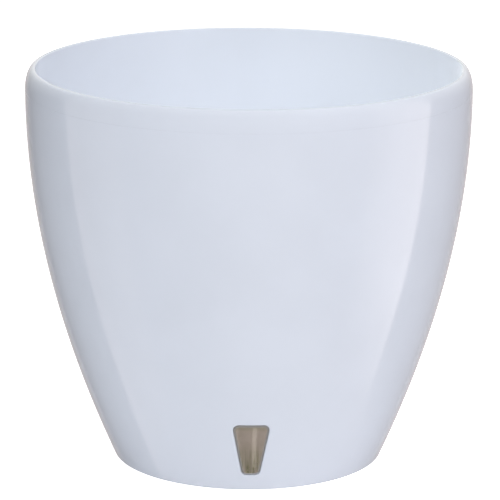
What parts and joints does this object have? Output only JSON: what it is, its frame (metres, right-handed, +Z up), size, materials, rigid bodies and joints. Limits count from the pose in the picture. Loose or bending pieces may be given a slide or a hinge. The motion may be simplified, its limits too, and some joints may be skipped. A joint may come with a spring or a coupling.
{
  "type": "self watering planter",
  "caption": "Round glossy planter with a water level window; a lift-out inner pot with wick cups and a capped fill tube sits over a drainable reservoir.",
  "frame": {"origin": "centre of the foot ring, on the surface the planter stands on", "axes": "+Z up; the level window faces -Y; +X is to the right seen from the window side"},
  "size_m": [0.2, 0.2, 0.1788],
  "materials": {
    "pot_gloss": "high gloss, pale blue-white",
    "inner_gloss": "satin gloss, pale blue-white",
    "smoky_pane": "smoky brown, translucent, polished",
    "seal_rubber": "soft black",
    "frame_plastic": "fine matt",
    "strip_plastic": "fine matt, pale",
    "plug_plastic": "satin grey",
    "tube_plastic": "satin, pale",
    "cap_plastic": "satin grey",
    "cup_plastic": "satin grey",
    "felt": "needled felt",
    "pin_steel": "drawn wire"
  },
  "bodies": {
    "shell": {"outer_pot": "pot_gloss", "window_lens": "smoky_pane", "window_gasket": "seal_rubber", "window_retainer": "frame_plastic", "level_strip": "strip_plastic"},
    "liner": {"inner_pot": "inner_gloss", "fill_tube": "tube_plastic", "tube_lock_ring": "tube_plastic", "cap_hinge_pin": "pin_steel", "wick_cup_1": "cup_plastic", "wick_cup_2": "cup_plastic", "wick_cup_3": "cup_plastic", "wick_cup_4": "cup_plastic", "wick_felt_1": "felt", "wick_felt_2": "felt", "wick_felt_3": "felt", "wick_felt_4": "felt"},
    "fill_cap": {"fill_cap": "cap_plastic"},
    "drain_plug": {"drain_plug": "plug_plastic", "drain_plug_seal": "seal_rubber"}
  },
  "joints": [
    {"name": "liner_lift", "type": "slide", "parent": "shell", "child": "liner", "axis": [0, 0, 1], "range_m": [0, 0.18]},
    {"name": "fill_cap_hinge", "type": "hinge", "parent": "liner", "child": "fill_cap", "pos_m": [0, -0.0685, 0.1571], "axis": [1, 0, 0], "range_deg": [0, 110]},
    {"name": "drain_plug_lift", "type": "slide", "parent": "shell", "child": "drain_plug", "axis": [0, 0, 1], "range_m": [0, 0.018]}
  ]
}
